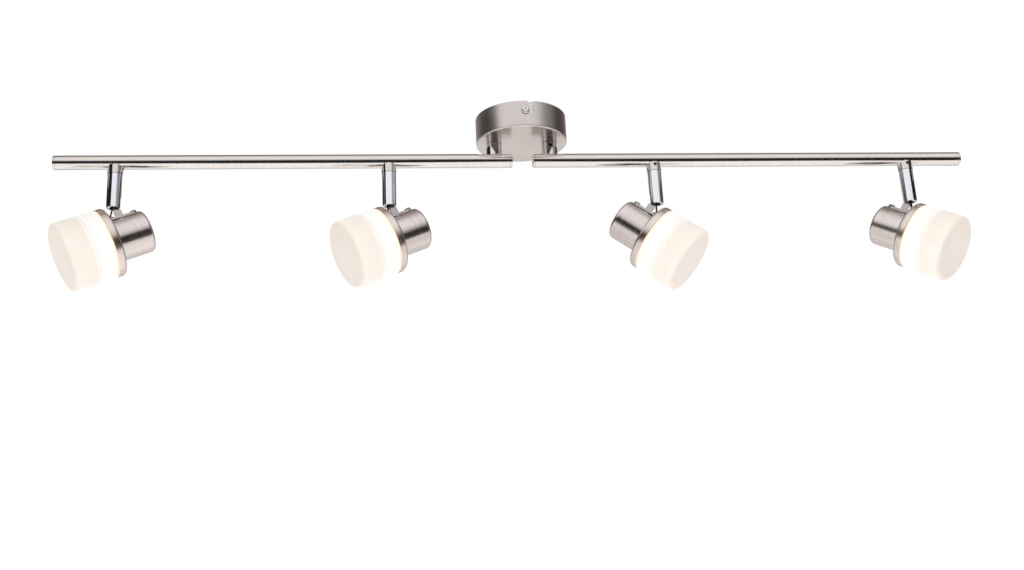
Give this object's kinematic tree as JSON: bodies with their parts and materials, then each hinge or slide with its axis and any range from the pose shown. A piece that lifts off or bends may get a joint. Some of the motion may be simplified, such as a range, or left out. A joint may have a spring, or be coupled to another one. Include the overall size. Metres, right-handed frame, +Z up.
{
  "type": "ceiling spotlight bar",
  "caption": "Ceiling spotlight bar: a drum canopy with swivelling round arms that carry panning and tilting frosted spot lamps on chromed stems.",
  "frame": {"origin": "centre of the canopy in the ceiling plane", "axes": "+Z up into the ceiling, +X along the right arm, -Y towards the front, where a side screw of the canopy shows"},
  "size_m": [0.801, 0.0869, 0.1591],
  "materials": {
    "zinc_steel": "zinc plated sheet steel",
    "satin_nickel": "satin brushed nickel plating on steel",
    "nickel_on_aluminium": "satin brushed nickel plating",
    "bright_steel": "bright machined steel",
    "black_steel": "black oxide",
    "chrome": "polished chrome",
    "brass": "plain",
    "white_plastic": "moulded, matte",
    "lead_jacket": "flexible lead insulation and rubber grommet, dark brown",
    "led_board": "white circuit board with yellow LEDs",
    "driver_board": "circuit board with parts",
    "frosted_acrylic": "frosted, lit from inside"
  },
  "bodies": {
    "canopy": {"ceiling_bracket": "zinc_steel", "canopy_cup": "satin_nickel", "side_screws": "bright_steel", "earth_screw": "brass", "terminal_block": "white_plastic", "swivel_spigots": "bright_steel", "spigot_nuts": "zinc_steel", "canopy_leads": "lead_jacket"},
    "left_arm": {"left_arm": "satin_nickel", "left_end_caps": "satin_nickel", "left_grub_screws": "black_steel", "left_arm_leads": "lead_jacket"},
    "right_arm": {"right_arm": "satin_nickel", "right_end_caps": "satin_nickel", "right_grub_screws": "black_steel", "right_arm_leads": "lead_jacket"},
    "stem_1": {"stem_1_tube": "chrome", "stem_1_fork": "chrome", "stem_1_pivot_pin": "bright_steel"},
    "lamp_1": {"lamp_1_bracket": "chrome", "lamp_1_bracket_screw": "bright_steel", "lamp_1_housing": "nickel_on_aluminium", "lamp_1_flange": "nickel_on_aluminium", "lamp_1_led_board": "led_board", "lamp_1_driver": "driver_board", "lamp_1_shade": "frosted_acrylic", "lamp_1_leads": "lead_jacket"},
    "stem_2": {"stem_2_tube": "chrome", "stem_2_fork": "chrome", "stem_2_pivot_pin": "bright_steel"},
    "lamp_2": {"lamp_2_bracket": "chrome", "lamp_2_bracket_screw": "bright_steel", "lamp_2_housing": "nickel_on_aluminium", "lamp_2_flange": "nickel_on_aluminium", "lamp_2_led_board": "led_board", "lamp_2_driver": "driver_board", "lamp_2_shade": "frosted_acrylic", "lamp_2_leads": "lead_jacket"},
    "stem_3": {"stem_3_tube": "chrome", "stem_3_fork": "chrome", "stem_3_pivot_pin": "bright_steel"},
    "lamp_3": {"lamp_3_bracket": "chrome", "lamp_3_bracket_screw": "bright_steel", "lamp_3_housing": "nickel_on_aluminium", "lamp_3_flange": "nickel_on_aluminium", "lamp_3_led_board": "led_board", "lamp_3_driver": "driver_board", "lamp_3_shade": "frosted_acrylic", "lamp_3_leads": "lead_jacket"},
    "stem_4": {"stem_4_tube": "chrome", "stem_4_fork": "chrome", "stem_4_pivot_pin": "bright_steel"},
    "lamp_4": {"lamp_4_bracket": "chrome", "lamp_4_bracket_screw": "bright_steel", "lamp_4_housing": "nickel_on_aluminium", "lamp_4_flange": "nickel_on_aluminium", "lamp_4_led_board": "led_board", "lamp_4_driver": "driver_board", "lamp_4_shade": "frosted_acrylic", "lamp_4_leads": "lead_jacket"}
  },
  "joints": [
    {"name": "left_arm_swivel", "type": "hinge", "parent": "canopy", "child": "left_arm", "pos_m": [-0.0245, 0, -0.0392], "axis": [0, 0, 1], "range_deg": [-75, 75]},
    {"name": "right_arm_swivel", "type": "hinge", "parent": "canopy", "child": "right_arm", "pos_m": [0.0245, 0, -0.0392], "axis": [0, 0, 1], "range_deg": [-75, 75]},
    {"name": "lamp_1_pan", "type": "hinge", "parent": "left_arm", "child": "stem_1", "pos_m": [-0.349, 0, -0.0392], "axis": [0, 0, 1], "range_deg": [-169.3, 130.7]},
    {"name": "lamp_1_tilt", "type": "hinge", "parent": "stem_1", "child": "lamp_1", "pos_m": [-0.349, 0, -0.0762], "axis": [0.3305, -0.9438, 0], "range_deg": [-15.1, 64.9]},
    {"name": "lamp_2_pan", "type": "hinge", "parent": "left_arm", "child": "stem_2", "pos_m": [-0.1172, 0, -0.0392], "axis": [0, 0, 1], "range_deg": [-167.1, 132.9]},
    {"name": "lamp_2_tilt", "type": "hinge", "parent": "stem_2", "child": "lamp_2", "pos_m": [-0.1172, 0, -0.0762], "axis": [0.294, -0.9558, 0], "range_deg": [-14.7, 65.3]},
    {"name": "lamp_3_pan", "type": "hinge", "parent": "right_arm", "child": "stem_3", "pos_m": [0.1172, 0, -0.0392], "axis": [0, 0, 1], "range_deg": [-131, 169]},
    {"name": "lamp_3_tilt", "type": "hinge", "parent": "stem_3", "child": "lamp_3", "pos_m": [0.1172, 0, -0.0762], "axis": [0.3256, 0.9455, 0], "range_deg": [-29, 51]},
    {"name": "lamp_4_pan", "type": "hinge", "parent": "right_arm", "child": "stem_4", "pos_m": [0.349, 0, -0.0392], "axis": [0, 0, 1], "range_deg": [-109, 191]},
    {"name": "lamp_4_tilt", "type": "hinge", "parent": "stem_4", "child": "lamp_4", "pos_m": [0.349, 0, -0.0762], "axis": [0.6561, 0.7547, 0], "range_deg": [-21.5, 58.5]}
  ]
}
